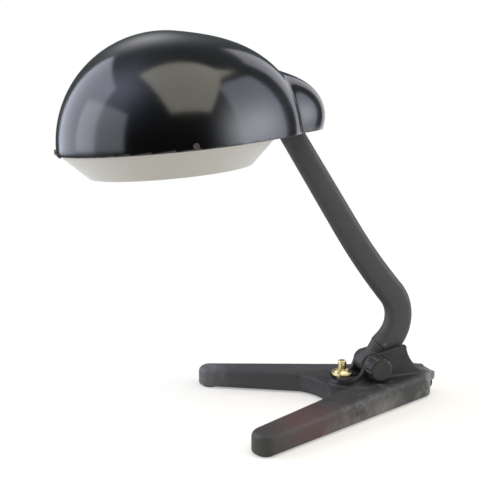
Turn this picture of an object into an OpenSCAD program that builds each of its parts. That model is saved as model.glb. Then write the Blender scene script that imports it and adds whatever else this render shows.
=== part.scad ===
// Dome shade desk lamp: a V-shaped cast foot, a bent oval arm that tilts at the
// foot under a clamp knob, and a dome shade with a hooded neck that tilts on the arm.
// Origin: on the floor under the point of the V. The lamp faces -X, and Z is up.

/* [Foot] */
// Length of each leg, from the point of the V to the middle of the toe
leg_len = 220; // [190:1:240]
// Half of the angle between the legs
leg_angle = 25; // [22:0.5:29]
// Radius of the toes
toe_r = 13; // [11:0.5:16]
// Height of the toes above the floor
toe_top = 22; // [19:0.5:25]
// Radius of the rounded point of the V
heel_r = 20; // [17:0.5:21]
// Height of the legs at the point of the V
heel_top = 28; // [26:0.5:31]
// Rounding along the top edges of the legs
leg_round = 6; // [4:0.5:8]
// Height of the web that joins the legs
web_top = 21; // [19:0.5:24]
// How far the web reaches forward of the point of the V
web_len = 100; // [95:1:115]
// Height of the underside above the floor
foot_gap = 2; // [1.8:0.1:3]

/* [Foot pivot] */
// Distance of the arm pivot in front of the point of the V
pivot_set = 52; // [48:1:56]
// Height of the arm pivot above the floor
pivot_h = 41; // [40.5:0.5:46]
// Outer radius of the two cheeks round the pivot
cheek_r = 11.5; // [10:0.5:13]
// Thickness of each cheek
cheek_t = 5.4; // [5:0.2:8]
// Diameter of the pivot bolt
bolt_d = 7; // [6:0.5:7.5]
// Thickness of the fibre washers beside the arm
washer_t = 1; // [0.8:0.1:1.5]
// Diameter of the clamp knob
knob_d = 26; // [23:0.5:26.5]
// Length of the clamp knob
knob_len = 14.2; // [12:0.2:18]

/* [Arm] */
// Lean of the lowest stretch of the arm, back from vertical
foot_lean = 45.8; // [43:0.2:49]
// Length of the lowest straight stretch
foot_run = 29.5; // [28:0.5:36]
// Radius of the bend, on the centre line
bend_r = 38.8; // [36:0.2:44]
// Angle turned in the bend
bend_turn = 86.4; // [83:0.2:90]
// Length of the slightly curved stretch above the bend
long_run = 90; // [75:0.5:110]
// Angle by which that stretch straightens up towards the neck
long_ease = 8; // [7:0.1:9]
// Length of the straight stretch below the neck pivot
neck_run = 153.3; // [138:0.1:170]
// Width of the arm at its foot
arm_w_low = 31.5; // [29:0.5:33]
// Width of the arm at the neck
arm_w_top = 23; // [21:0.5:25]
// Diameter of the eye at the foot of the arm
eye_d = 24; // [23.5:0.5:26]
// Thickness of the arm
arm_t = 16; // [14:0.5:17]
// Wall of the arm tube
arm_wall = 1.6; // [1.2:0.1:2]
// Length of each end casting outside the tube
end_run = 20; // [18.5:0.5:23]
// Length of each spigot inside the tube
spigot_len = 8.5; // [6:0.5:9]
// Diameter of the lead inside the arm
lead_d = 5; // [4.6:0.1:5.2]

/* [Shade] */
// Radius of the dome
dome_r = 102.5; // [96:0.5:110]
// Sheet thickness of the dome
shade_wall = 1.5; // [1.2:0.1:2]
// Height of the broad swelling that runs into the neck hood
swell = 26.5; // [24:0.5:30]
// Height of the neck hood above the swelling
hood_bulge = 27.6; // [24:0.2:29]
// Downward tilt of the rim towards the front
rim_tilt = 5; // [2:0.5:8]
// Distance of the neck pivot behind the middle of the dome
neck_back = 102; // [100:0.5:105]
// Height of the neck pivot above the rim
neck_up = 35; // [33:0.5:37]
// Diameter of the neck bolt
neck_bolt_d = 6; // [5:0.5:7]
// Thickness of the bracket sheet
bracket_t = 2; // [1.5:0.1:2.5]

/* [Anti-glare ring] */
// Clearance between the ring's collar and the dome
ring_gap = 0.8; // [0.5:0.1:1.2]
// Radius of the opening at the bottom of the ring
mouth_r = 76; // [72:0.5:82]
// Depth of the cone below the rim
ring_drop = 24; // [18:0.5:27]
// Height of the collar inside the dome
collar_h = 7; // [6.5:0.5:8]
// Sheet thickness of the ring
ring_wall = 1; // [0.8:0.1:1.2]

/* [Lamp holder and bulb] */
// Diameter of the lamp holder
holder_d = 38; // [36:0.5:40]
// Length of the lamp holder
holder_len = 42; // [40:0.5:46]
// Height of the bulb's axis above the rim
bulb_up = 24; // [22:0.5:26]
// Diameter of the glass bulb
globe_d = 60; // [50:1:64]
// Length of the glass bulb outside its cap
glass_len = 80; // [76:1:84]
// Diameter of the bulb's screw cap
cap_d = 26.4; // [26:0.1:27]
// Length of the bulb's screw cap
cap_len = 22; // [20:0.5:24]

/* [Switch] */
// Distance of the switch in front of the arm pivot
switch_set = 30.5; // [29:0.5:32]
// Height of the switch boss above the floor
boss_top = 31; // [29:0.5:33]
// Diameter of the brass bezel
bezel_d = 22; // [18:0.5:24]
// Height of the bezel above its boss
bezel_h = 7; // [5:0.5:9]
// Diameter of the push button
button_d = 9; // [8:0.2:10]
// Height of the button above the bezel
button_up = 8; // [6:0.5:10]
// Travel of the button
button_travel = 3; // [2:0.5:3.5]

/* [Cord inlet] */
// Bore of the inlet bush
inlet_bore = 6.6; // [6:0.1:7.5]
// Diameter of the inlet bush in the foot
bush_d = 10; // [9:0.5:11]

/* [Hidden] */
$fn = 64;

// Named fits and small clearances
run_fit = 0.05;          // radial clearance of a turning fit
side_gap = 0.1;          // side clearance of a turning or sliding part
seat_gap = 0.3;          // clearance of a loose seat
eps = 0.01;              // overlap of a cut with the face it starts from

// Places that several pieces share
pivot_x = -pivot_set;
bolt_r = bolt_d / 2;
eye_r = eye_d / 2;
cheek_in = arm_t / 2 + washer_t + 2 * side_gap;
cheek_out = cheek_in + cheek_t;
slot_floor = pivot_h - eye_r - 1.5;
toe_x = -leg_len * cos(leg_angle);
toe_y = leg_len * sin(leg_angle);
switch_x = pivot_x - switch_set;

// Underside of the foot
pad_sink = 1;
toe_pad_r = toe_r - 4;
heel_pad_r = heel_r - 7;
cover_t = 1.8;
cover_seat = foot_gap + 0.2 + cover_t;
cavity_top = web_top - 4;
cover_screw_r = 1.5;
cover_screw_inset = 2.125;  // how far the front screws stand inside the edge of the hollow
knob_room = 1;           // clearance round the clamp knob
cover_head_r = 3;
cover_head_h = 1.3;
screw_boss_r = 4.5;
inlet_z = 13;
spot_face_x = heel_r - 1.5;
bush_flange_r = bush_d / 2 + 2.2;
bush_flange_t = 2.5;
bush_len = 12;

// Arm path. Each place on it is [x, z, lean], where lean is the angle from
// vertical, positive towards +X.
bend_arc = bend_r * bend_turn * PI / 180;
curve_end = foot_run + bend_arc + long_run;
arm_len = curve_end + neck_run;
long_r = long_run / (long_ease * PI / 180);
bend_x = pivot_x + foot_run * sin(foot_lean) - bend_r * cos(foot_lean);
bend_z = pivot_h + foot_run * cos(foot_lean) + bend_r * sin(foot_lean);
long_lean = foot_lean - bend_turn;
long_x = bend_x + bend_r * cos(long_lean);
long_z = bend_z - bend_r * sin(long_lean);
top_lean = long_lean + long_ease;

function foot_place(s) = [pivot_x + s * sin(foot_lean), pivot_h + s * cos(foot_lean), foot_lean];
function bend_place(s) =
    let (lean = foot_lean - s / bend_r * 180 / PI)
    [bend_x + bend_r * cos(lean), bend_z - bend_r * sin(lean), lean];
function long_place(s) =
    let (lean = long_lean + s / long_r * 180 / PI)
    [long_x + long_r * (cos(long_lean) - cos(lean)), long_z + long_r * (sin(lean) - sin(long_lean)), lean];
function neck_place(s) =
    let (start = long_place(long_run))
    [start[0] + s * sin(top_lean), start[1] + s * cos(top_lean), top_lean];
function arm_place(s) =
    s < foot_run ? foot_place(s)
    : s < foot_run + bend_arc ? bend_place(s - foot_run)
    : s < curve_end ? long_place(s - foot_run - bend_arc)
    : neck_place(s - curve_end);
function arm_w(s) = arm_w_low + (arm_w_top - arm_w_low) * s / arm_len;

neck = arm_place(arm_len);
neck_x = neck[0];
neck_z = neck[1];
tube_start = end_run;
tube_end = arm_len - end_run;
head_r = arm_w_top / 2;
head_t = arm_t - 2;
neck_step = 1.2;         // how much each end casting is drawn in beside its eye
lead_r = lead_d / 2;
lead_bore_r = lead_r + side_gap;

// Shade shape, about the middle of the rim
swell_reach = 75;        // angle from the hood's axis at which the swelling ends
hood_reach = 23;         // angle from the hood's axis at which the hood ends
hood_lift = 7;           // angle of the hood's axis above the rim
hood_narrow = 1.15;      // how much narrower the hood is than it is high
swing_half = arm_t / 2 + 2;          // half width of the openings that the arm swings into
slot_top = 13;           // height of the slot in the back of the hood
ring_r = dome_r - shade_wall - ring_gap;
bracket_top = dome_r - 12.5;
az_steps = 72;
el_steps = 22;

bracket_in = head_t / 2 + washer_t + 2 * side_gap;
bracket_out = bracket_in + bracket_t;
neck_bolt_r = neck_bolt_d / 2;
bracket_r = neck_bolt_r + 6;
nut_t = 5;
plate_x = neck_back - head_r - 4;
nipple_r = 5;
holder_back = plate_x - bracket_t;
holder_mouth = holder_back - holder_len;
holder_wall = 3.5;
sleeve_wall = 0.6;
cap_seat = holder_mouth + cap_len - 4;
glass_wall = 0.9;
ring_screw_r = 1.5;
ring_screw_z = 3.5;
ring_screw_az = [90, 180, 270];
ring_screw_in = 4;       // how far the ring's screws reach inside the collar

// Switch
neck_r = button_d / 2 + 1.6;
switch_floor = cavity_top - side_gap;
button_r = button_d / 2;
button_low = switch_floor + 5.2;
switch_h = 10.5;
switch_len = 20;
switch_room = 1.5;       // clearance ahead of the switch in its hollow

// --- shapes that repeat ---

// A long round-ended outline, w across and t thick
module flat_oval(w, t) {
    square([w - t, t], center = true);
    for (side = [-1, 1])
        translate([side * (w - t) / 2, 0]) circle(d = t);
}

// Places its children at a point of the arm path, with Z along the arm,
// X across it towards the back and Y as in the whole lamp
module on_arm(s) {
    place = arm_place(s);
    translate([place[0], 0, place[1]]) rotate([0, place[2], 0]) children();
}

// A cylinder along Y from y0 to y1 whose axis passes through x, z
module across(x, z, r, y0, y1) {
    translate([x, y1, z]) rotate([90, 0, 0]) cylinder(r = r, h = y1 - y0);
}

// Places its children in the shade's own frame
module on_shade() {
    translate([neck_x, 0, neck_z]) rotate([0, -rim_tilt, 0]) translate([-neck_back, 0, -neck_up]) children();
}

// Places its children along the bulb's axis, with Z forward from the holder plate
module on_bulb_axis(x) {
    translate([x, 0, bulb_up]) rotate([0, -90, 0]) children();
}

// Points of a round-ended outline of width w and thickness t, n on each end
function oval_points(w, t, n) = [
    for (end = [0, 1], k = [0 : n])
        let (angle = -90 + 180 * end + 180 * k / n)
        [(1 - 2 * end) * (w - t) / 2 + t / 2 * cos(angle), t / 2 * sin(angle)]
];

// Corner points of the outlines set along the arm path. rings holds [s, offset across, outline] rows.
function sweep_points(rings) = [
    for (ring = rings, p = ring[2])
        let (place = arm_place(ring[0]), u = p[0] + ring[1])
        [place[0] + u * cos(place[2]), p[1], place[1] - u * sin(place[2])]
];

// Faces between rows of corner points, outward when out is true. first is the first point's number.
function sweep_sides(rows, count, first, out) = [
    for (i = [0 : rows - 2], k = [0 : count - 1])
        let (a = first + i * count + k, b = first + i * count + (k + 1) % count)
        each out ? [[a, b + count, b], [a, a + count, b + count]]
            : [[a, b, b + count], [a, b + count, a + count]]
];

// A solid swept along the arm path
module sweep(rings) {
    count = len(rings[0][2]);
    top = (len(rings) - 1) * count;
    polyhedron(sweep_points(rings), concat(sweep_sides(len(rings), count, 0, true),
        [for (k = [1 : count - 2]) [0, k, k + 1]],
        [for (k = [1 : count - 2]) [top, top + k + 1, top + k]]));
}

// A hollow tube swept along the arm path, open at both ends
module sweep_hollow(outer, inner) {
    count = len(outer[0][2]);
    top = (len(outer) - 1) * count;
    all = top + count;
    polyhedron(concat(sweep_points(outer), sweep_points(inner)), concat(
        sweep_sides(len(outer), count, 0, true),
        sweep_sides(len(inner), count, all, false),
        [for (k = [0 : count - 1]) let (n = (k + 1) % count) each [[k, n, all + n], [k, all + n, all + k]]],
        [for (k = [0 : count - 1]) let (a = top + k, n = top + (k + 1) % count)
            each [[a, all + n, n], [a, all + a, all + n]]]));
}

// Steps along the arm: close together in the bend, far apart on the straight stretch
function arm_steps(from, to) = concat(
    [from],
    [for (k = [0 : 16]) foot_run + bend_arc * k / 16],
    [for (k = [1 : 6]) foot_run + bend_arc + long_run * k / 6],
    [for (k = [1 : 5]) curve_end + (neck_run - end_run - spigot_len - 4) * k / 5],
    [to]
);

// --- foot ---

module leg(side) {
    hull() {
        for (end = [[0, 0, heel_r, heel_top], [toe_x, side * toe_y, toe_r, toe_top]])
            translate([end[0], end[1], foot_gap]) {
                cylinder(r = end[2], h = end[3] - foot_gap - leg_round, $fn = 40);
                translate([0, 0, end[3] - foot_gap - leg_round])
                    rotate_extrude($fn = 40) intersection() {
                        translate([end[2] - leg_round, 0]) circle(r = leg_round, $fn = 20);
                        translate([0, -leg_round]) square([end[2] + 1, 2 * leg_round]);
                    }
            }
    }
}

// Side outline of the pivot tower, drawn in X and Z
module tower_outline() {
    back_r = 36;
    front_r = 17.5;
    difference() {
        union() {
            translate([pivot_x, pivot_h]) circle(r = cheek_r);
            polygon([
                [pivot_x - 34, web_top - 2], [heel_r - 1, web_top - 2], [heel_r, heel_top],
                [heel_r, pivot_h + 21], [pivot_x + 34, pivot_h + 19], [pivot_x, pivot_h + cheek_r],
                [pivot_x - cheek_r, pivot_h], [pivot_x - 34, pivot_h]
            ]);
        }
        translate([heel_r, heel_top + back_r]) circle(r = back_r);
        translate([pivot_x - cheek_r - front_r, web_top + front_r + 6]) circle(r = front_r);
        translate([pivot_x - 60, web_top + 6 + front_r]) square([60 - cheek_r - front_r, 60]);
    }
}

module web_outline() {
    curve_r = 50;
    front_x = -web_len - 22;
    front_y = front_x * tan(leg_angle);
    difference() {
        polygon([[0, heel_r - 4], [0, 4 - heel_r], [front_x, front_y], [front_x, -front_y]]);
        translate([-web_len - curve_r, 0]) circle(r = curve_r);
    }
}

// The hollow under the foot, grown by a margin for the cover's seat. It ends ahead of the switch.
cavity_back = -18;
cavity_back_half = 7;
cavity_front = switch_x - switch_len / 2 - switch_room;
cavity_front_half = 30;
module cavity_outline(grow) {
    back_x = cavity_back + grow;
    front_x = cavity_front - grow;
    back_y = cavity_back_half + grow / 2;
    front_y = cavity_front_half + grow;
    polygon([[back_x, back_y], [back_x, -back_y], [front_x, -front_y], [front_x, front_y]]);
}

// Half width of the hollow at a place along it
function cavity_half(x) = cavity_back_half
    + (cavity_front_half - cavity_back_half) * (cavity_back - x) / (cavity_back - cavity_front);
cover_screw_x = switch_x - 2;
cover_screw_y = cavity_half(cover_screw_x) - cover_screw_inset;
cover_screw_places = [[cavity_back - 7, 0], [cover_screw_x, -cover_screw_y], [cover_screw_x, cover_screw_y]];

module base_casting() color([0.16, 0.16, 0.16]) difference() {
    union() {
        for (side = [-1, 1]) leg(side);
        translate([0, 0, foot_gap]) linear_extrude(web_top - foot_gap) web_outline();
        translate([0, cheek_out, 0]) rotate([90, 0, 0]) linear_extrude(2 * cheek_out) tower_outline();
        translate([switch_x, 0, cavity_top]) cylinder(r = bezel_d / 2 + 3, h = boss_top - cavity_top);
    }
    // slot between the cheeks
    translate([pivot_x - 60, -cheek_in, slot_floor]) cube([60 + pivot_set + heel_r, 2 * cheek_in, 60]);
    across(pivot_x, pivot_h, bolt_r + run_fit, -cheek_out - 1, cheek_out + 1);
    // room for the clamp knob over the near leg
    across(pivot_x, pivot_h, knob_d / 2 + knob_room, -knob_start - knob_len - knob_room, -cheek_out);
    // hollow for the switch, with bosses left for the cover's screws
    difference() {
        translate([0, 0, foot_gap - 1]) linear_extrude(cavity_top - foot_gap + 1) cavity_outline(0);
        for (place = cover_screw_places)
            translate([place[0], place[1], cover_seat]) cylinder(r = screw_boss_r, h = cavity_top);
    }
    translate([0, 0, foot_gap - 1]) linear_extrude(cover_seat - foot_gap + 1) cavity_outline(3);
    for (place = cover_screw_places)
        translate([place[0], place[1], cover_seat - 1]) cylinder(r = cover_screw_r + side_gap, h = 9);
    // way up from the hollow to the arm for the lead
    translate([pivot_x - 20, -5, cavity_top - 2]) cube([34, 10, slot_floor - cavity_top + 3]);
    // switch neck, pads and cord inlet
    translate([switch_x, 0, 0]) cylinder(r = neck_r + side_gap, h = boss_top + 1);
    for (side = [-1, 1])
        translate([toe_x, side * toe_y, 0]) cylinder(r = toe_pad_r + side_gap, h = foot_gap + pad_sink);
    cylinder(r = heel_pad_r + side_gap, h = foot_gap + pad_sink);
    translate([-20, 0, inlet_z]) rotate([0, 90, 0]) cylinder(r = bush_d / 2 + side_gap, h = 40);
    translate([spot_face_x, 0, inlet_z]) rotate([0, 90, 0]) cylinder(r = bush_flange_r + 0.5, h = 10);
}

module bottom_cover() color([0.3, 0.3, 0.31])
    translate([0, 0, cover_seat - cover_t]) difference() {
        linear_extrude(cover_t) offset_cover();
        for (place = cover_screw_places)
            translate([place[0], place[1], -1]) cylinder(r = cover_screw_r + side_gap, h = cover_t + 2);
    }

// The cover's outline: its seat, drawn in by a loose-seat clearance
module offset_cover() {
    cavity_outline(3 - seat_gap);
}

module cover_screws() color([0.7, 0.7, 0.7])
    for (place = cover_screw_places)
        translate([place[0], place[1], cover_seat - cover_t - cover_head_h]) {
            cylinder(r = cover_head_r, h = cover_head_h);
            cylinder(r = cover_screw_r, h = cover_head_h + cover_t + 7);
        }

module toe_pads() color([0.1, 0.1, 0.1])
    for (side = [-1, 1])
        translate([toe_x, side * toe_y, 0]) cylinder(r = toe_pad_r, h = foot_gap + pad_sink);

module heel_pad() color([0.1, 0.1, 0.1])
    cylinder(r = heel_pad_r, h = foot_gap + pad_sink);

module cord_bush() color([0.08, 0.08, 0.08])
    translate([spot_face_x - bush_len, 0, inlet_z]) rotate([0, 90, 0]) difference() {
        union() {
            cylinder(d = bush_d, h = bush_len);
            translate([0, 0, bush_len]) cylinder(r = bush_flange_r, h = bush_flange_t);
        }
        translate([0, 0, -1]) cylinder(d = inlet_bore, h = bush_len + bush_flange_t + 2);
    }

// --- pivot hardware ---

knob_start = cheek_out + 1.5 + 0.2;
insert_len = 9;

module pivot_bolt() color([0.6, 0.6, 0.6]) {
    across(pivot_x, pivot_h, bolt_r, 0.5 - knob_start - insert_len, cheek_out + eps);
    translate([pivot_x, cheek_out, pivot_h]) rotate([-90, 0, 0]) rotate_extrude() difference() {
        square([cheek_r / 2, 4.5]);
        translate([cheek_r / 2 - 2, 2.5]) difference() {
            square(2.5);
            circle(r = 2);
        }
    }
}

module pivot_washers() color([0.45, 0.3, 0.2])
    for (side = [-1, 1])
        translate([0, side * (arm_t / 2 + side_gap + washer_t / 2), 0]) difference() {
            across(pivot_x, pivot_h, eye_r - 3, -washer_t / 2, washer_t / 2);
            across(pivot_x, pivot_h, bolt_r + side_gap, -washer_t, washer_t);
        }

module knob_washer() color([0.75, 0.75, 0.75]) difference() {
    across(pivot_x, pivot_h, bolt_r + 5, -cheek_out - 1.5, -cheek_out);
    across(pivot_x, pivot_h, bolt_r + side_gap, -cheek_out - 2, -cheek_out + 1);
}

module clamp_knob() color([0.07, 0.06, 0.06]) difference() {
    translate([pivot_x, -knob_start, pivot_h]) rotate([90, 0, 0]) rotate_extrude() {
        square([knob_d / 2 - 2, knob_len]);
        square([knob_d / 2, knob_len - 3]);
        translate([knob_d / 2 - 3, knob_len - 3]) circle(r = 3);
    }
    across(pivot_x, pivot_h, bolt_r + 3, -knob_start - insert_len, -knob_start + 1);
    for (k = [0 : 11])
        rotate_about_pivot(k * 30)
            across(pivot_x + knob_d / 2 + 1.2, pivot_h, 2.2, -knob_start - knob_len - 1, -knob_start - 3);
}

module rotate_about_pivot(angle) {
    translate([pivot_x, 0, pivot_h]) rotate([0, angle, 0]) translate([-pivot_x, 0, -pivot_h]) children();
}

module knob_insert() color([0.75, 0.6, 0.3]) difference() {
    across(pivot_x, pivot_h, bolt_r + 3, -knob_start - insert_len, -knob_start);
    across(pivot_x, pivot_h, bolt_r + run_fit, -knob_start - insert_len - 1, -knob_start + 1);
}

// --- switch ---

module switch_body() color([0.12, 0.1, 0.1])
    translate([switch_x, 0, switch_floor - switch_h]) {
        translate([-switch_len / 2, -9, 0]) cube([switch_len, 18, switch_h]);
        for (side = [-1, 1])
            translate([side * 7 - 1.5, -11.5, 2]) cube([3, 23, 5]);
    }

module switch_bezel() color([0.8, 0.65, 0.35])
    translate([switch_x, 0, 0]) rotate_extrude() difference() {
        union() {
            translate([0, switch_floor]) square([neck_r, boss_top - switch_floor + 1]);
            translate([0, boss_top]) square([bezel_d / 2, 2.5]);
            translate([0, boss_top + 2.5]) intersection() {
                translate([0, -bezel_d / 2 + bezel_h - 2.5]) circle(d = bezel_d);
                square([bezel_d / 2, bezel_h]);
            }
        }
        translate([0, switch_floor - 1]) square([button_r + side_gap, 60]);
    }

module switch_spring() color([0.7, 0.7, 0.72])
    translate([switch_x, 0, switch_floor]) difference() {
        cylinder(r = button_r - 0.9, h = button_low - switch_floor);
        translate([0, 0, -1]) cylinder(r = button_r - 1.9, h = 8);
    }

module switch_button() color([0.85, 0.72, 0.42])
    translate([switch_x, 0, button_low]) rotate_extrude() {
        top = boss_top + bezel_h + button_up - button_low;
        square([button_r, top - 2]);
        square([button_r - 2, top]);
        translate([button_r - 2, top - 2]) intersection() {
            circle(r = 2);
            square(2);
        }
    }

// --- arm ---

// Offset of the lead towards the back, which keeps it beside the two bolts. It is
// steady through each end casting, whose bore is straight.
lead_foot = eye_r - neck_step - 1 - lead_bore_r;
lead_head = arm_w(tube_end) / 2 - neck_step - 1 - lead_bore_r;
function lead_offset(s) =
    let (share = min(max((s - foot_run) / (curve_end - foot_run), 0), 1))
    lead_foot + (lead_head - lead_foot) * share;

module arm_foot() color([0.17, 0.17, 0.17]) difference() {
    union() {
        across(pivot_x, pivot_h, eye_r, -arm_t / 2, arm_t / 2);
        // neck that widens from the eye to the tube
        sweep([
            for (row = [[1, eye_d - 3 * neck_step], [tube_start, arm_w(tube_start) - neck_step]])
                [row[0], 0, oval_points(row[1], arm_t - neck_step, 12)]
        ]);
        on_arm(0) translate([0, 0, tube_start - 1]) linear_extrude(spigot_len + 1)
            flat_oval(arm_w(tube_start) - 2 * arm_wall - 0.8, arm_t - 2 * arm_wall - 0.5);
    }
    across(pivot_x, pivot_h, bolt_r + run_fit, -arm_t, arm_t);
    on_arm(0) translate([lead_offset(0), 0, -eye_d]) cylinder(r = lead_bore_r, h = eye_d + tube_start + spigot_len + 2);
    on_arm(tube_start + spigot_len / 2) across(-4, 0, 1.5 + side_gap, -arm_t, arm_t);
}

module arm_tube() color([0.17, 0.17, 0.17]) difference() {
    sweep_hollow(
        [for (s = arm_steps(tube_start, tube_end)) [s, 0, oval_points(arm_w(s), arm_t, 12)]],
        [for (s = arm_steps(tube_start, tube_end))
            [s, 0, oval_points(arm_w(s) - 2 * arm_wall, arm_t - 2 * arm_wall, 12)]]);
    on_arm(tube_start + spigot_len / 2) across(-4, 0, 1.5 + side_gap, -arm_t, arm_t);
    on_arm(tube_end - spigot_len / 2) across(-1.5, 0, 1.5 + side_gap, -arm_t, arm_t);
}

module arm_head() color([0.17, 0.17, 0.17]) difference() {
    union() {
        across(neck_x, neck_z, head_r, -head_t / 2, head_t / 2);
        on_arm(arm_len) translate([0, 0, -end_run]) linear_extrude(end_run - 2)
            flat_oval(arm_w(tube_end) - 2 * neck_step, head_t - neck_step);
        on_arm(arm_len) translate([0, 0, -end_run - spigot_len]) linear_extrude(spigot_len + 1)
            flat_oval(arm_w(tube_end) - 2 * arm_wall - 0.8, arm_t - 2 * arm_wall - 0.5);
    }
    across(neck_x, neck_z, neck_bolt_r + run_fit, -arm_t, arm_t);
    on_arm(arm_len) translate([lead_offset(arm_len), 0, -end_run - spigot_len - 2])
        cylinder(r = lead_bore_r, h = end_run + spigot_len + 2 + arm_w_top);
    on_arm(tube_end - spigot_len / 2) across(-1.5, 0, 1.5 + side_gap, -arm_t, arm_t);
}

module arm_pins() color([0.5, 0.5, 0.5]) {
    on_arm(tube_start + spigot_len / 2) across(-4, 0, 1.5, -arm_t / 2, arm_t / 2);
    on_arm(tube_end - spigot_len / 2) across(-1.5, 0, 1.5, -arm_t / 2, arm_t / 2);
}

module arm_lead() color([0.9, 0.9, 0.88])
    sweep([for (s = arm_steps(-9, arm_len + 6))
        [s, lead_offset(s), [for (k = [0 : 7]) lead_r * [cos(k * 45), sin(k * 45)]]]]);

// --- shade ---

// Distance of the shade's surface from the middle of the rim, for an azimuth
// from the back and an elevation above the rim, less a wall
function shade_reach(az, el, wall) =
    let (
        dir = [cos(el) * cos(az), cos(el) * sin(az), sin(el)],
        along = dir * [cos(hood_lift), 0, sin(hood_lift)],
        high = dir * [-sin(hood_lift), 0, cos(hood_lift)],
        spread = max(norm([high, dir[1]]), 1e-6),
        angle = acos(min(along, 1)) * norm([high, hood_narrow * dir[1]]) / spread,
        broad = angle < swell_reach ? swell * (1 + cos(180 * angle / swell_reach)) / 2 : 0,
        bulge = angle < hood_reach ? hood_bulge * pow(1 - pow(angle / hood_reach, 2), 1.5) : 0
    )
    dome_r - wall + broad + bulge;

// A closed solid under the shade's surface: rings of points, closer together round the hood
module shade_solid(wall, floor_z) {
    function az_at(i) = 360 * i / az_steps - 28 * sin(360 * i / az_steps);
    function el_at(j) = 90 * (0.62 * j / el_steps + 0.38 * pow(j / el_steps, 2));
    rows = [
        for (j = [0 : el_steps - 1], i = [0 : az_steps - 1])
            let (az = az_at(i), el = el_at(j), r = shade_reach(az, el, wall))
            [r * cos(el) * cos(az), r * cos(el) * sin(az), r * sin(el)]
    ];
    skirt = [for (i = [0 : az_steps - 1]) [rows[i][0], rows[i][1], floor_z]];
    points = concat(skirt, rows, [[0, 0, shade_reach(0, 90, wall)], [0, 0, floor_z]]);
    crown = (el_steps + 1) * az_steps;
    sides = [
        for (j = [0 : el_steps - 1], i = [0 : az_steps - 1])
            let (a = j * az_steps + i, b = j * az_steps + (i + 1) % az_steps)
            each [[a, b + az_steps, b], [a, a + az_steps, b + az_steps]]
    ];
    top = [for (i = [0 : az_steps - 1]) [el_steps * az_steps + i, crown, el_steps * az_steps + (i + 1) % az_steps]];
    bottom = [for (i = [0 : az_steps - 1]) [i, (i + 1) % az_steps, crown + 1]];
    polyhedron(points, concat(sides, top, bottom));
}

module shade_shell() color([0.05, 0.05, 0.06]) on_shade() difference() {
    shade_solid(0, -1);
    shade_solid(shade_wall, -3);
    translate([-2 * dome_r, -2 * dome_r, -10]) cube([4 * dome_r, 4 * dome_r, 10]);
    // slot in the back wall that the arm swings into
    translate([neck_back + 25, -swing_half, -1]) cube([hood_bulge + swell, 2 * swing_half, slot_top + 1]);
    for (az = ring_screw_az)
        rotate([0, 0, az]) translate([ring_r - ring_screw_in, 0, ring_screw_z]) rotate([0, 90, 0])
            cylinder(r = ring_screw_r + side_gap, h = dome_r - ring_r + ring_screw_in + 2);
}

module glare_ring() color([0.85, 0.85, 0.82]) on_shade() difference() {
    rotate_extrude($fn = 128) polygon([
        [ring_r, collar_h], [ring_r, 0], [mouth_r, -ring_drop], [mouth_r - ring_wall, -ring_drop],
        [mouth_r - ring_wall, -ring_drop + 0.6], [ring_r - ring_wall, 0.6], [ring_r - ring_wall, collar_h]
    ]);
    // notch that the arm swings into
    translate([ring_r - 12, -swing_half, -12]) cube([14, 2 * swing_half, collar_h + 13]);
    for (az = ring_screw_az)
        rotate([0, 0, az]) translate([ring_r - ring_screw_in - 2, 0, ring_screw_z]) rotate([0, 90, 0])
            cylinder(r = ring_screw_r + side_gap, h = ring_screw_in + 4);
}

module ring_screws() color([0.3, 0.3, 0.3]) on_shade()
    for (az = ring_screw_az)
        rotate([0, 0, az]) translate([ring_r - ring_screw_in, 0, ring_screw_z]) rotate([0, 90, 0]) {
            cylinder(r = ring_screw_r, h = dome_r - ring_r + ring_screw_in + 0.5);
            translate([0, 0, dome_r - ring_r + ring_screw_in + 0.1]) cylinder(r = 2.6, h = 1.6);
        }

// --- neck ---

module neck_bracket() color([0.55, 0.55, 0.55]) on_shade() difference() {
    intersection() {
        union() {
            for (side = [-1, 1])
                translate([0, side * (bracket_in + bracket_out) / 2 + bracket_t / 2, 0]) rotate([90, 0, 0])
                    linear_extrude(bracket_t) {
                        translate([neck_back, neck_up]) circle(r = bracket_r);
                        polygon([
                            [plate_x, bulb_up - 12], [plate_x + 8, bulb_up - 12], [neck_back + bracket_r, neck_up],
                            [neck_back + bracket_r + 4, bracket_top], [plate_x + 6, bracket_top], [plate_x, bulb_up + 20]
                        ]);
                    }
            translate([plate_x - bracket_t, -bracket_out, bulb_up - 12]) cube([bracket_t, 2 * bracket_out, 32]);
        }
        shade_solid(shade_wall, -3);
    }
    across(neck_back, neck_up, neck_bolt_r + side_gap, -30, 30);
    on_bulb_axis(plate_x + 5) cylinder(r = nipple_r + side_gap, h = 20);
}

module neck_bolt() color([0.6, 0.6, 0.6]) on_shade() {
    across(neck_back, neck_up, neck_bolt_r, -bracket_out - eps, bracket_out + nut_t + 1.5);
    across(neck_back, neck_up, neck_bolt_r + 2.5, -bracket_out - 3.5, -bracket_out);
}

module neck_nut() color([0.6, 0.6, 0.6]) on_shade() difference() {
    translate([neck_back, bracket_out + nut_t, neck_up]) rotate([90, 0, 0])
        cylinder(r = neck_bolt_r + 3, h = nut_t, $fn = 6);
    across(neck_back, neck_up, neck_bolt_r + run_fit, bracket_out - 1, bracket_out + nut_t + 1);
}

module neck_washers() color([0.45, 0.3, 0.2]) on_shade()
    for (side = [-1, 1])
        translate([0, side * (head_t / 2 + side_gap + washer_t / 2), 0]) difference() {
            across(neck_back, neck_up, bracket_r, -washer_t / 2, washer_t / 2);
            across(neck_back, neck_up, neck_bolt_r + side_gap, -washer_t, washer_t);
        }

// --- lamp holder and bulb, drawn along the bulb's axis from the bracket plate ---

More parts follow.
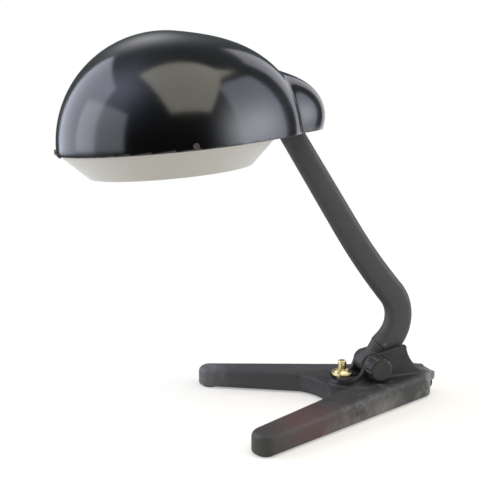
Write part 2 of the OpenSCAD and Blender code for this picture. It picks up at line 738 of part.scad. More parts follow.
module holder_nipple() color([0.75, 0.6, 0.3]) on_shade() on_bulb_axis(plate_x + 3) difference() {
    union() {
        cylinder(r = nipple_r, h = 3 + bracket_t + 5);
        cylinder(r = nipple_r + 3, h = 3);
    }
    translate([0, 0, -1]) cylinder(r = nipple_r - 1.5, h = 20);
}

module lamp_holder() color([0.08, 0.07, 0.07]) on_shade() on_bulb_axis(holder_back) difference() {
    union() {
        cylinder(d = holder_d - 6, h = 8);
        translate([0, 0, 5]) cylinder(d = holder_d, h = holder_len - 5);
    }
    translate([0, 0, -1]) cylinder(r = nipple_r + side_gap, h = 6.1);
    translate([0, 0, holder_back - cap_seat - 8]) cylinder(d = cap_d + 2 * (seat_gap + sleeve_wall) + 0.2, h = holder_len);
}

module thread_sleeve() color([0.78, 0.62, 0.32]) on_shade() on_bulb_axis(cap_seat + 1) difference() {
    cylinder(d = cap_d + 2 * (seat_gap + sleeve_wall), h = cap_len - 1);
    translate([0, 0, -1]) cylinder(d = cap_d + 2 * seat_gap, h = cap_len + 2);
}

module holder_contact() color([0.78, 0.62, 0.32]) on_shade() on_bulb_axis(cap_seat + 8) {
    cylinder(r = 4, h = 3.5);
    cylinder(r = 9, h = 1.2);
}

module bulb_cap() color([0.8, 0.8, 0.8]) on_shade() on_bulb_axis(cap_seat) {
    cylinder(d = cap_d, h = cap_len);
}

module bulb_contact() color([0.7, 0.7, 0.65]) on_shade() on_bulb_axis(cap_seat + 4.5) {
    cylinder(r = 3.5, h = 2.5);
    translate([0, 0, 2]) cylinder(r1 = 3.5, r2 = 9, h = 2.5);
}

// Half of the bulb's outline, drawn in by a wall: a globe that narrows to the cap
module bulb_half(wall) {
    centre = glass_len - globe_d / 2;
    globe_r = globe_d / 2 - wall;
    throat_r = cap_d / 2 - 0.4 - wall;
    // where a straight shoulder from the throat meets the globe
    join = 50;
    intersection() {
        translate([0, centre]) circle(r = globe_r);
        translate([0, centre - globe_r * cos(join)]) square([globe_r + 1, 2 * globe_r]);
    }
    polygon([
        [0, wall > 0 ? -1 : 0], [throat_r, wall > 0 ? -1 : 0], [throat_r + 0.6, 12],
        [globe_r * sin(join), centre - globe_r * cos(join)], [0, centre - globe_r * cos(join)]
    ]);
}

module bulb_glass() color([0.95, 0.95, 0.9]) on_shade() on_bulb_axis(cap_seat - cap_len)
    rotate_extrude() difference() {
        bulb_half(0);
        bulb_half(glass_wall);
    }

base_casting();
bottom_cover();
cover_screws();
toe_pads();
heel_pad();
cord_bush();
pivot_bolt();
pivot_washers();
knob_washer();
switch_body();
switch_bezel();
switch_spring();
switch_button();
clamp_knob();
knob_insert();
arm_foot();
arm_tube();
arm_head();
arm_pins();
arm_lead();
shade_shell();
glare_ring();
ring_screws();
neck_bracket();
neck_bolt();
neck_nut();
neck_washers();
holder_nipple();
lamp_holder();
thread_sleeve();
holder_contact();
bulb_glass();
bulb_cap();
bulb_contact();
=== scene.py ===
"""Desk lamp with a dome shade: the looks of every piece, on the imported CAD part."""
import math

import bmesh
import bpy
from mathutils import Matrix, Vector


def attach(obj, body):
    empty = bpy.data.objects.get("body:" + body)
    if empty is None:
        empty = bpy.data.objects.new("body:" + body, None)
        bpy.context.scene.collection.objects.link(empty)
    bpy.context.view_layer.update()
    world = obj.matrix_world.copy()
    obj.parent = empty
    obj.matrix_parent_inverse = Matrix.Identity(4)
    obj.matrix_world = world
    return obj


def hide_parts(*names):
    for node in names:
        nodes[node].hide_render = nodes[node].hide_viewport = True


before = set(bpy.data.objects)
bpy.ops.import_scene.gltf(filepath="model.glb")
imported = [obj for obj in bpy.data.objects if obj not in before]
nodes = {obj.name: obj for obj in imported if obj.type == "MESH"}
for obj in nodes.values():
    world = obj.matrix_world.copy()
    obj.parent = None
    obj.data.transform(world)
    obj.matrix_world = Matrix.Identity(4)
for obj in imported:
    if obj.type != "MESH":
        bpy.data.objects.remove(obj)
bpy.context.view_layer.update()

# ---------------------------------------------------------------------------------------------
# Camera. It stands a little below the top of the shade and looks slightly down on the foot,
# from the side of the near leg.
CAMERA_DOWN, CAMERA_ROUND = 9.8, -17.5
camera_data = bpy.data.cameras.new("camera")
camera_data.sensor_width, camera_data.lens = 36, 60
camera_data.clip_start, camera_data.clip_end = 0.05, 50
camera = bpy.data.objects.new("camera", camera_data)
bpy.context.collection.objects.link(camera)
camera.location = (-0.4247, -0.7312, 0.3111)
camera.rotation_euler = (math.radians(90 - CAMERA_DOWN), 0, math.radians(CAMERA_ROUND))
bpy.context.scene.camera = camera
bpy.context.scene.view_settings.view_transform = "Standard"


# ---------------------------------------------------------------------------------------------
# Table top. A plain matt white sheet that fades out before its edge, so that it runs into the
# white behind it. It keeps the lamp's soft shadow.
def colour(hexa):
    """An sRGB hex colour as linear red, green, blue and full alpha."""
    parts = [int(hexa[i : i + 2], 16) / 255 for i in (1, 3, 5)]
    return (*[p / 12.92 if p <= 0.04045 else ((p + 0.055) / 1.055) ** 2.4 for p in parts], 1.0)


def add(tree, kind, inputs=None, **settings):
    """A new node in a tree, with its settings, and its inputs set or linked."""
    made = tree.nodes.new(kind)
    for name, value in settings.items():
        setattr(made, name, value)
    for key, value in (inputs or {}).items():
        if isinstance(value, bpy.types.NodeSocket):
            tree.links.new(value, made.inputs[key])
        else:
            made.inputs[key].default_value = value
    return made


def new_material(name):
    """An empty node material and its tree."""
    made = bpy.data.materials.new(name)
    made.use_nodes = True
    made.node_tree.nodes.clear()
    return made, made.node_tree


TABLE_R = 2.0
FADE_START, FADE_END = 0.75, 1.9
table_paper, tree = new_material("matt_white_paper")
where = add(tree, "ShaderNodeTexCoord").outputs["Object"]
far = add(tree, "ShaderNodeVectorMath", {0: where}, operation="LENGTH").outputs["Value"]
fade = add(tree, "ShaderNodeMapRange", {
    "Value": far, "From Min": FADE_START, "From Max": FADE_END,
}, interpolation_type="SMOOTHERSTEP")
ray = add(tree, "ShaderNodeLightPath")
seen = add(tree, "ShaderNodeMath", {
    0: ray.outputs["Is Camera Ray"], 1: ray.outputs["Is Glossy Ray"],
}, operation="MAXIMUM")
matt = add(tree, "ShaderNodeBsdfDiffuse", {"Color": colour("#c8c4bb")})
# the paper glows a little, and more towards its edge, where less light reaches it
glow = add(tree, "ShaderNodeMapRange", {
    "Value": far, "From Min": 0.2, "From Max": 1.0, "To Min": 0.38, "To Max": 0.8})
seen_glow = add(tree, "ShaderNodeMath", {
    0: glow.outputs[0], 1: seen.outputs[0]}, operation="MULTIPLY")
lift = add(tree, "ShaderNodeEmission", {
    "Color": (1, 1, 1, 1), "Strength": seen_glow.outputs[0]})
lit = add(tree, "ShaderNodeAddShader", {0: matt.outputs[0], 1: lift.outputs[0]})
clear = add(tree, "ShaderNodeBsdfTransparent")
faded = add(tree, "ShaderNodeMixShader", {
    0: fade.outputs["Result"], 1: lit.outputs[0], 2: clear.outputs[0]})
add(tree, "ShaderNodeOutputMaterial", {"Surface": faded.outputs[0]})

bm = bmesh.new()
bmesh.ops.create_circle(bm, cap_ends=True, segments=96, radius=TABLE_R)
table_mesh = bpy.data.meshes.new("table")
bm.to_mesh(table_mesh)
bm.free()
table_mesh.materials.append(table_paper)
table = bpy.data.objects.new("table", table_mesh)
bpy.context.collection.objects.link(table)

# ---------------------------------------------------------------------------------------------
# Studio light. Two big cool soft boxes stand on the left, a warm one hangs above on the camera's
# side, and two tall narrow ones stand on the right. Three soft patches in a dim room add the rest.
world = bpy.data.worlds.new("studio")
bpy.context.scene.world = world
world.use_nodes = True
tree = world.node_tree
tree.nodes.clear()
ray = add(tree, "ShaderNodeLightPath")
where = add(tree, "ShaderNodeTexCoord").outputs["Generated"]
axes = add(tree, "ShaderNodeSeparateXYZ", {0: where})
# the room is darkest behind the camera and lightest above the far side
behind = add(tree, "ShaderNodeMapRange", {
    "Value": axes.outputs["Y"], "From Min": -0.6, "From Max": 0.3, "To Min": 0.0, "To Max": 0.11})
above = add(tree, "ShaderNodeMapRange", {
    "Value": axes.outputs["Z"], "From Min": 0.0, "From Max": 1.0, "To Min": 0.0, "To Max": 0.1})
dim = add(tree, "ShaderNodeMath", {0: behind.outputs[0], 1: above.outputs[0]}, operation="ADD")
glow = add(tree, "ShaderNodeVectorMath", {
    0: colour("#eafaff")[:3], "Scale": dim.outputs[0]}, operation="SCALE")
PATCHES = (  # direction round and up in degrees, spread in degrees, brightness, tint
    (-25.3, 10, 13.6, 4.26, "#f2f6ff"),
    (-172.2, 47.8, 16.5, 1.86, "#d8e0ff"),
    (89.5, 45.6, 9.3, 1.54, "#fefdff"),
)
for round_, rise, spread, bright, tint in PATCHES:
    round_, rise, spread = math.radians(round_), math.radians(rise), math.radians(spread)
    centre = (math.cos(round_) * math.cos(rise), math.sin(round_) * math.cos(rise), math.sin(rise))
    facing = add(tree, "ShaderNodeVectorMath", {0: where, 1: centre}, operation="DOT_PRODUCT")
    off = add(tree, "ShaderNodeMath", {0: facing.outputs["Value"], 1: 1.0}, operation="SUBTRACT")
    fall = add(tree, "ShaderNodeMath", {0: off.outputs[0], 1: 1 / spread**2}, operation="MULTIPLY")
    soft = add(tree, "ShaderNodeMath", {0: fall.outputs[0]}, operation="EXPONENT")
    level = add(tree, "ShaderNodeMath", {0: soft.outputs[0], 1: bright}, operation="MULTIPLY")
    patch = add(tree, "ShaderNodeVectorMath", {
        0: colour(tint)[:3], "Scale": level.outputs[0]}, operation="SCALE")
    glow = add(tree, "ShaderNodeVectorMath", {
        0: glow.outputs[0], 1: patch.outputs[0]}, operation="ADD")
room = add(tree, "ShaderNodeBackground", {"Color": glow.outputs[0]})
white = add(tree, "ShaderNodeBackground", {"Color": (1, 1, 1, 1), "Strength": 1.0})
backdrop = add(tree, "ShaderNodeMixShader", {
    0: ray.outputs["Is Camera Ray"], 1: room.outputs[0], 2: white.outputs[0]})
add(tree, "ShaderNodeOutputWorld", {"Surface": backdrop.outputs[0]})


def soft_light(name, place, aim, width, height, radiance, tint):
    """A rectangular soft light of a given brightness that faces a point."""
    data = bpy.data.lights.new(name, "AREA")
    data.shape = "RECTANGLE"
    data.size, data.size_y = width, height
    data.energy = math.pi * width * height * radiance
    data.color = colour(tint)[:3]
    lamp = bpy.data.objects.new(name, data)
    bpy.context.collection.objects.link(lamp)
    lamp.location = place
    lamp.rotation_euler = (Vector(aim) - Vector(place)).to_track_quat("-Z", "Y").to_euler()
    lamp.visible_camera = False
    return lamp


soft_light("left_light", (-1.334, 0.636, 0.963), (-0.2, 0, 0.963), 1.56, 1.66, 2.55, "#e9edff")
soft_light(
    "left_front_light", (-1.495, -0.115, 0.601), (-0.2, 0, 0.601), 1.375, 0.87, 1.94, "#f0f3ff")
soft_light(
    "top_light", (0.011, -0.857, 1.37), (0.01087, -0.85601, 0.37), 1.35, 1.56, 2.61, "#fffae9")
soft_light("right_light", (0.866, -0.273, 0.748), (-0.2, 0, 0.748), 0.59, 1.595, 1.8, "#e8eeff")
soft_light(
    "right_back_light", (0.690, 0.646, 0.808), (-0.2, 0, 0.808), 0.544, 1.59, 1.41, "#f5f3ff")


def put(bm, name, body, *materials):
    """A smooth-shaded piece from a bmesh, riding on a body."""
    mesh = bpy.data.meshes.new(name)
    bm.to_mesh(mesh)
    bm.free()
    return place_mesh(mesh, name, body, *materials)


def place_mesh(mesh, name, body, *materials):
    """A smooth-shaded piece from a mesh, riding on a body."""
    mesh.materials.clear()
    for material in materials:
        mesh.materials.append(material)
    mesh.shade_smooth()
    piece = bpy.data.objects.new(name, mesh)
    bpy.context.collection.objects.link(piece)
    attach(piece, body)
    return piece


# nearly all of a noise's values lie in this span
NOISE_SPAN = {"From Min": 0.3, "From Max": 0.7}


def stove_paint(name, main, zones=()):
    """Satin stove paint over iron or steel: mottled, with uneven gloss and a fine grain. The
    clouds are 26 mm across and the grain 2 mm, a little coarser than sand so that it shows. Each
    zone, of real wear or of painted light and shade, has a middle, an inner and an outer radius in
    metres, a colour and an amount."""
    made, tree = new_material(name)
    where = add(tree, "ShaderNodeTexCoord").outputs["Object"]
    grain = add(tree, "ShaderNodeTexNoise", {
        "Vector": where, "Scale": 480, "Detail": 4, "Roughness": 0.65}).outputs["Fac"]
    cloud = add(tree, "ShaderNodeTexNoise", {
        "Vector": where, "Scale": 38, "Detail": 4, "Roughness": 0.65}).outputs["Fac"]
    shade = add(tree, "ShaderNodeMapRange", {
        "Value": cloud, **NOISE_SPAN, "To Min": 0.86, "To Max": 1.12})
    speck = add(tree, "ShaderNodeMapRange", {
        "Value": grain, **NOISE_SPAN, "To Min": 0.84, "To Max": 1.14})
    mottle = add(tree, "ShaderNodeMath", {
        0: shade.outputs[0], 1: speck.outputs[0]}, operation="MULTIPLY")
    tone = add(tree, "ShaderNodeVectorMath", {
        0: colour(main)[:3], "Scale": mottle.outputs[0]}, operation="SCALE").outputs[0]
    # a zone of wear or of painted light and shade is patchy, and its edge is ragged, 20 mm in and
    # out
    patchy = add(tree, "ShaderNodeMapRange", {
        "Value": cloud, "From Min": 0.3, "From Max": 0.6, "To Min": 0.6, "To Max": 1.0})
    torn = add(tree, "ShaderNodeTexNoise", {
        "Vector": where, "Scale": 70, "Detail": 6, "Roughness": 0.75}).outputs["Fac"]
    shift = add(tree, "ShaderNodeMapRange", {
        "Value": torn, **NOISE_SPAN, "To Min": -0.02, "To Max": 0.02})
    for middle, inner, outer, wear_and_light_colour, amount in zones:
        away = add(tree, "ShaderNodeVectorMath", {0: where, 1: middle}, operation="DISTANCE")
        ragged = add(tree, "ShaderNodeMath", {
            0: away.outputs["Value"], 1: shift.outputs[0]}, operation="ADD")
        fall = add(tree, "ShaderNodeMapRange", {
            "Value": ragged.outputs[0], "From Min": outer, "From Max": inner, "To Max": amount,
        }, interpolation_type="SMOOTHSTEP")
        wear_and_light = add(tree, "ShaderNodeMath", {
            0: fall.outputs[0], 1: patchy.outputs[0]}, operation="MULTIPLY")
        tone = add(tree, "ShaderNodeMix", {
            0: wear_and_light.outputs[0], 6: tone, 7: colour(wear_and_light_colour)}, data_type="RGBA").outputs[2]
    rough = add(tree, "ShaderNodeMapRange", {
        "Value": cloud, **NOISE_SPAN, "To Min": 0.5, "To Max": 0.64})
    bump = add(tree, "ShaderNodeBump", {"Strength": 0.4, "Distance": 0.0004, "Height": grain})
    paint = add(tree, "ShaderNodeBsdfPrincipled", {
        "Base Color": tone, "Roughness": rough.outputs[0], "Normal": bump.outputs[0], "IOR": 1.5})
    add(tree, "ShaderNodeOutputMaterial", {"Surface": paint.outputs[0]})
    return made


foot_paint_and_light = stove_paint("stove_paint_on_cast_iron_and_painted_light", "#3a3a3a", (
    # browned near leg and its dark toe
    ((-0.150, -0.075, 0.012), 0.01, 0.075, "#4f2f2b", 0.85),
    ((-0.207, -0.104, 0.010), 0.01, 0.045, "#2b2a26", 0.85),
    # painted shade: the top of the web and hub is drawn darker
    ((-0.090, -0.030, 0.036), 0.03, 0.085, "#1d1c1b", 0.9),
    ((-0.020, -0.030, 0.036), 0.02, 0.055, "#1d1c1b", 0.9),
    # a lighter far toe; a painted reflection of the table on the low near sides, and a painted
    # highlight on the back end
    ((-0.212, 0.106, 0.010), 0.01, 0.060, "#6a6a69", 0.7),
    ((-0.055, -0.056, -0.006), 0.0, 0.050, "#85827c", 0.8),
    ((-0.110, -0.084, -0.006), 0.0, 0.045, "#77706c", 0.7),
    ((0.028, -0.016, 0.010), 0.008, 0.034, "#a2a29e", 0.75),
))


def soft_cast(node, voxel, rounds):
    """A copy of a CAD node's mesh with the soft edges and hollows of a casting."""
    mesh = nodes[node].data.copy()
    bm = bmesh.new()
    bm.from_mesh(mesh)
    bmesh.ops.remove_doubles(bm, verts=bm.verts, dist=0.00001)
    bm.to_mesh(mesh)
    bm.free()
    holder = bpy.data.objects.new("soft", mesh)
    bpy.context.collection.objects.link(holder)
    remesh = holder.modifiers.new("remesh", "REMESH")
    remesh.mode, remesh.voxel_size = "VOXEL", voxel
    smooth = holder.modifiers.new("smooth", "SMOOTH")
    smooth.factor, smooth.iterations = 0.5, rounds
    graph = bpy.context.evaluated_depsgraph_get()
    done = bpy.data.meshes.new_from_object(holder.evaluated_get(graph))
    bpy.data.objects.remove(holder)
    return done


foot_mesh = soft_cast("base_casting", voxel=0.0012, rounds=5)
foot = place_mesh(foot_mesh, "foot_casting", "base", foot_paint_and_light)
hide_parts("base_casting")

# ---------------------------------------------------------------------------------------------
# Small pieces of the foot. A zinc-plated sheet cover on three screws closes its hollow. Rubber
# pads are stuck under the toes and the heel, and a Bakelite bush is screwed in at the back. A
# steel bolt runs through the cheeks and the arm, with a washer under the knob.


def dress(material, *names):
    """CAD nodes shown as they are, in a better material."""
    for name in names:
        piece = nodes[name]
        if not piece.material_slots:
            piece.data.materials.append(material)
        for slot in piece.material_slots:
            slot.material = material


def plain_finish(name, tint, roughness, patch, metallic=0.0, grain=0.0, ior=1.5, uneven=0.13):
    """A finish with a little unevenness in tone and gloss, in patches of a noise scale. One metre
    over the scale is their real size. The grain is how strongly they stand out."""
    made, tree = new_material(name)
    where = add(tree, "ShaderNodeTexCoord").outputs["Object"]
    cloud = add(tree, "ShaderNodeTexNoise", {
        "Vector": where, "Scale": patch, "Detail": 4, "Roughness": 0.6}).outputs["Fac"]
    shade = add(tree, "ShaderNodeMapRange", {
        "Value": cloud, **NOISE_SPAN, "To Min": 1 - uneven, "To Max": 1 + uneven})
    tone = add(tree, "ShaderNodeVectorMath", {
        0: colour(tint)[:3], "Scale": shade.outputs[0]}, operation="SCALE")
    rough = add(tree, "ShaderNodeMapRange", {
        "Value": cloud, **NOISE_SPAN, "To Min": roughness * 0.85, "To Max": roughness * 1.15})
    bump = add(tree, "ShaderNodeBump", {"Strength": grain, "Distance": 0.0002, "Height": cloud})
    finish = add(tree, "ShaderNodeBsdfPrincipled", {
        "Base Color": tone.outputs[0], "Roughness": rough.outputs[0], "Metallic": metallic,
        "Normal": bump.outputs[0], "IOR": ior})
    add(tree, "ShaderNodeOutputMaterial", {"Surface": finish.outputs[0]})
    return made


# moulded rubber is dull black, and its 1 mm grain is drawn coarser than it is so that it shows
rubber = plain_finish("moulded_rubber", "#1c1c1b", 0.75, patch=900, grain=0.2)
# plated sheet is a dull grey metal with 5 mm spangles, oiled steel a satin brown one that is
# uneven every 2 mm, and aged Bakelite is near black with a soft gloss in 8 mm clouds
dull_zinc = plain_finish("dull_zinc_sheet", "#8f9193", 0.45, patch=220, metallic=1.0, grain=0.1)
oiled_steel = plain_finish("oiled_steel", "#6d6a66", 0.38, patch=500, metallic=1.0, grain=0.1)
bakelite = plain_finish("aged_bakelite", "#110d0c", 0.46, patch=120, grain=0.05, ior=1.55)
dress(rubber, "toe_pads", "heel_pad")
dress(dull_zinc, "bottom_cover")
dress(oiled_steel, "cover_screws", "pivot_bolt", "knob_washer")
dress(bakelite, "cord_bush")

# ---------------------------------------------------------------------------------------------
# Clamp knob. Moulded black Bakelite with twelve shallow flutes and a rounded face, on a brass
# insert. It screws along the pivot bolt and squeezes the cheeks together.
MM = 0.001
PIVOT = (-52.0, 41.0)
KNOB_START = 16.3
KNOB_FLUTES, FLUTE_DEPTH, FLUTE_LOW, FLUTE_R = 12, 0.075, 3.5, 12.2


def lathe(points, steps):
    """A closed round body from a closed outline of (radius, height) in millimetres, about Z."""
    bm = bmesh.new()
    verts = [bm.verts.new((r * MM, 0, z * MM)) for r, z in points]
    for a, b in zip(verts, verts[1:] + verts[:1]):
        bm.edges.new((a, b))
    bmesh.ops.spin(
        bm, geom=list(bm.verts) + list(bm.edges), cent=(0, 0, 0), axis=(0, 0, 1),
        angle=math.tau, steps=steps, use_merge=True)
    bmesh.ops.remove_doubles(bm, verts=bm.verts, dist=1e-7)
    bmesh.ops.recalc_face_normals(bm, faces=bm.faces)
    return bm


def edge_bevel(piece, width=0.0003, angle=40):
    """Small rounded edges, of a width in metres, where a piece turns by more than an angle."""
    bevel = piece.modifiers.new("edges", "BEVEL")
    bevel.width, bevel.segments = width, 2
    bevel.limit_method, bevel.angle_limit = "ANGLE", math.radians(angle)
    bevel.harden_normals = True
    return bevel


bm = lathe([
    (6.5, 0), (12.5, 0), (13.0, 0.4), (13.0, 2.4), (12.8, 2.9), (13.0, 3.6), (13.0, 10.8),
    (12.92, 11.6), (12.7, 12.4), (12.25, 13.15), (11.6, 13.7), (10.8, 14.05), (9.9, 14.2),
    (8.2, 14.1), (5.0, 13.75), (0, 13.6), (0, 9.0), (6.5, 9.0),
], steps=144)
for v in bm.verts:
    flute = max(0, math.cos(KNOB_FLUTES * math.atan2(v.co.y, v.co.x))) ** 0.6
    if v.co.xy.length > FLUTE_R * MM and v.co.z > FLUTE_LOW * MM:
        v.co.xy *= 1 - FLUTE_DEPTH * flute
bolt_axis = Matrix.Translation((PIVOT[0] * MM, -KNOB_START * MM, PIVOT[1] * MM))
bolt_axis = bolt_axis @ Matrix.Rotation(math.radians(90), 4, "X")
bmesh.ops.transform(bm, matrix=bolt_axis, verts=bm.verts)
knob = put(bm, "knob_fluted", "knob", bakelite)
edge_bevel(knob, width=0.0002, angle=50)
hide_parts("clamp_knob")
# satin brass is pale yellow, with tarnish in 2.5 mm clouds
brass = plain_finish("satin_brass", "#dccb9c", 0.3, patch=400, metallic=1.0, grain=0.05)
dress(brass, "knob_insert")

# ---------------------------------------------------------------------------------------------
# Push switch. A turned brass bezel with a low dome screws down on the boss and holds the switch
# body under the web. The brass button slides in it and springs back.
SWITCH_X = -82.5
bm = lathe([
    (4.6, 16.9), (6.1, 16.9), (6.1, 31.0), (10.5, 31.0), (10.9, 31.2), (11.0, 31.6), (11.0, 32.9),
    (10.9, 33.3), (10.5, 33.5), (9.3, 33.6), (8.87, 33.9), (8.3, 34.6), (7.6, 35.3), (6.8, 35.9),
    (6.0, 36.4), (5.3, 36.75), (4.9, 36.85), (4.65, 36.7), (4.6, 36.4),
], steps=96)
bmesh.ops.translate(bm, vec=(SWITCH_X * MM, 0, 0), verts=bm.verts)
bezel = put(bm, "bezel_turned", "base", brass)
edge_bevel(bezel, width=0.0002, angle=60)
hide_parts("switch_bezel")
bm = lathe([
    (0, 22.1), (4.5, 22.1), (4.5, 43.8), (4.4, 44.6), (4.1, 45.2), (3.6, 45.7), (2.9, 45.95),
    (1.6, 46.0), (0, 46.0),
], steps=64)
bmesh.ops.translate(bm, vec=(SWITCH_X * MM, 0, 0), verts=bm.verts)
button = put(bm, "button_turned", "button", brass)
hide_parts("switch_button")
dress(bakelite, "switch_body")
dress(oiled_steel, "switch_spring")

# ---------------------------------------------------------------------------------------------
# Arm. A flat-oval steel tube, bent in one tight bend above the foot and slightly bowed above it,
# with a cast end at each pivot. It has the foot's dark grey paint.
arm_paint = stove_paint("stove_paint_on_steel", "#3b3b3b")
ARM_THICK, ARM_WIDE, ARM_NARROWS = 16.0, 31.5, 8.5
FOOT_RUN, BEND_R, LONG_RUN, NECK_RUN, END_RUN = 29.5, 38.8, 90.0, 153.3, 20.0
FOOT_LEAN, BEND_TURN, LONG_EASE = 45.8, 86.4, 8.0
BEND_RUN = BEND_R * math.radians(BEND_TURN)
ARM_RUN = FOOT_RUN + BEND_RUN + LONG_RUN + NECK_RUN


def arm_place(s):
    """X, Z and lean from vertical, in millimetres and radians, at a distance along the arm."""
    lean = math.radians(FOOT_LEAN)
    step = min(s, FOOT_RUN)
    x, z = PIVOT[0] + step * math.sin(lean), PIVOT[1] + step * math.cos(lean)
    step = min(max(s - FOOT_RUN, 0), BEND_RUN)
    turned = lean - step / BEND_R
    x += BEND_R * (math.cos(turned) - math.cos(lean))
    z += BEND_R * (math.sin(lean) - math.sin(turned))
    lean = turned
    step = min(max(s - FOOT_RUN - BEND_RUN, 0), LONG_RUN)
    bow = LONG_RUN / math.radians(LONG_EASE)
    turned = lean + step / bow
    x += bow * (math.cos(lean) - math.cos(turned))
    z += bow * (math.sin(turned) - math.sin(lean))
    step = max(s - FOOT_RUN - BEND_RUN - LONG_RUN, 0)
    return x + step * math.sin(turned), z + step * math.cos(turned), turned


bm = bmesh.new()
oval = bmesh.ops.create_circle(bm, segments=64, radius=ARM_THICK / 2)["verts"]
section = [(v.co.x, v.co.y) for v in oval]


def set_oval(verts, s):
    """The round section drawn out to the flat oval and set on the arm's path."""
    x, z, lean = arm_place(s)
    width = ARM_WIDE - ARM_NARROWS * s / ARM_RUN
    for v, (u, t) in zip(verts, section):
        u += math.copysign((width - ARM_THICK) / 2, u) if abs(u) > 0.01 else 0
        v.co = (x + u * math.cos(lean), t, z - u * math.sin(lean))


# the stations along the tube are closest in the bend
BEND_END = FOOT_RUN + BEND_RUN
LONG_END = BEND_END + LONG_RUN
TUBE_END = ARM_RUN - END_RUN
stations = [END_RUN, END_RUN + 0.6, FOOT_RUN]
stations += [FOOT_RUN + BEND_RUN * k / 40 for k in range(1, 41)]
stations += [BEND_END + LONG_RUN * k / 30 for k in range(1, 31)]
stations += [LONG_END + (NECK_RUN - END_RUN) * k / 12 for k in range(1, 12)]
stations += [TUBE_END - 0.6, TUBE_END]
set_oval(oval, stations[0])
bmesh.ops.contextual_create(bm, geom=oval)
edges = list(bm.edges)
for s in stations[1:]:
    grown = bmesh.ops.extrude_edge_only(bm, edges=edges)["geom"]
    # a new vertex still lies on the old one that it came from
    order = {tuple(round(c, 5) for c in v.co): i for i, v in enumerate(oval)}
    following = [None] * len(oval)
    for v in grown:
        if isinstance(v, bmesh.types.BMVert):
            following[order[tuple(round(c, 5) for c in v.co)]] = v
    oval = following
    edges = [g for g in grown if isinstance(g, bmesh.types.BMEdge)]
    set_oval(oval, s)
bmesh.ops.contextual_create(bm, geom=oval)
bmesh.ops.scale(bm, vec=(MM, MM, MM), verts=bm.verts)
bmesh.ops.recalc_face_normals(bm, faces=bm.faces)
tube = put(bm, "arm_tube_painted", "arm", arm_paint)
edge_bevel(tube, width=0.0006, angle=50)
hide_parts("arm_tube")
for node, name in (("arm_foot", "arm_foot_casting"), ("arm_head", "arm_head_casting")):
    casting = place_mesh(soft_cast(node, voxel=0.0006, rounds=3), name, "arm", arm_paint)
    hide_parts(node)
# pressed fibre is a dull red-brown felt, and its 1 mm flecks are drawn coarser than they are so
# that they show. The lead's cover is smooth and pale, soiled in 5 mm patches.
fibre = plain_finish("pressed_fibre", "#5a2f22", 0.8, patch=900, grain=0.3)
lead_cover = plain_finish("lead_cover", "#b9b8b2", 0.5, patch=200)
dress(oiled_steel, "arm_pins")
dress(fibre, "pivot_washers")
dress(lead_cover, "arm_lead")

# ---------------------------------------------------------------------------------------------
# Shade. One steel sheet, spun to a dome and drawn out into a hood over the neck pivot. It is
# stove-enamelled gloss black outside and white inside. A slot in the hood lets the arm swing in.
NECK = Vector((-0.164652, 0, 0.315975))
RIM_TILT = -5
shade_frame = Matrix.Translation(NECK) @ Matrix.Rotation(math.radians(RIM_TILT), 4, "Y")
shade_frame = shade_frame @ Matrix.Translation((-0.102, 0, -0.035))
DOME_R, SWELL, HOOD_BULGE = 102.5, 26.5, 27.6
SWELL_REACH, HOOD_REACH, HOOD_LIFT, HOOD_NARROW = 75.0, 23.0, 7.0, 1.15
SHADE_SHEET = 0.0015
HOOD_X, HOOD_Z = 0.12, 0.025
SLOT_HALF, SLOT_TOP = 0.010, 0.013
RIM_BAND, RIM_HIGH, SLIVER = 0.0015, 0.0008, 0.0006


def shade_reach(d):
    """Distance from the middle of the rim to the shade's outside, in a direction."""
    lift = math.radians(HOOD_LIFT)
    along = d.x * math.cos(lift) + d.z * math.sin(lift)
    high = d.z * math.cos(lift) - d.x * math.sin(lift)
    spread = max(math.hypot(high, d.y), 1e-6)
    angle = math.degrees(math.acos(max(-1, min(1, along))))
    angle = angle * math.hypot(high, HOOD_NARROW * d.y) / spread
    reach = DOME_R
    if angle < SWELL_REACH:
        reach += SWELL * (1 + math.cos(math.pi * angle / SWELL_REACH)) / 2
    if angle < HOOD_REACH:
        reach += HOOD_BULGE * (1 - (angle / HOOD_REACH) ** 2) ** 1.5
    return reach


# gloss enamel is deep black, with the 18 mm ripple of a sprayed coat and clouds of dust, 40 mm
# across, that take a little of its gloss
enamel_black, tree = new_material("gloss_black_enamel")
where = add(tree, "ShaderNodeTexCoord").outputs["Object"]
ripple = add(tree, "ShaderNodeTexNoise", {
    "Vector": where, "Scale": 55, "Detail": 2, "Roughness": 0.4})
dust = add(tree, "ShaderNodeTexNoise", {
    "Vector": where, "Scale": 24, "Detail": 6, "Roughness": 0.7})
rough = add(tree, "ShaderNodeMapRange", {
    "Value": dust.outputs["Fac"], "From Min": 0.35, "From Max": 0.7,
    "To Min": 0.13, "To Max": 0.2})
bump = add(tree, "ShaderNodeBump", {
    "Strength": 0.06, "Distance": 0.0006, "Height": ripple.outputs["Fac"]})
coat = add(tree, "ShaderNodeBsdfPrincipled", {
    "Base Color": colour("#0b0b0c"), "Roughness": rough.outputs[0],
    "IOR": 1.56, "Normal": bump.outputs[0]})
add(tree, "ShaderNodeOutputMaterial", {"Surface": coat.outputs[0]})
# white enamel is even and glossy, with a very slight ripple of 17 mm
enamel_white = plain_finish("white_enamel", "#e6e4dc", 0.28, patch=60, grain=0.04, uneven=0.03)

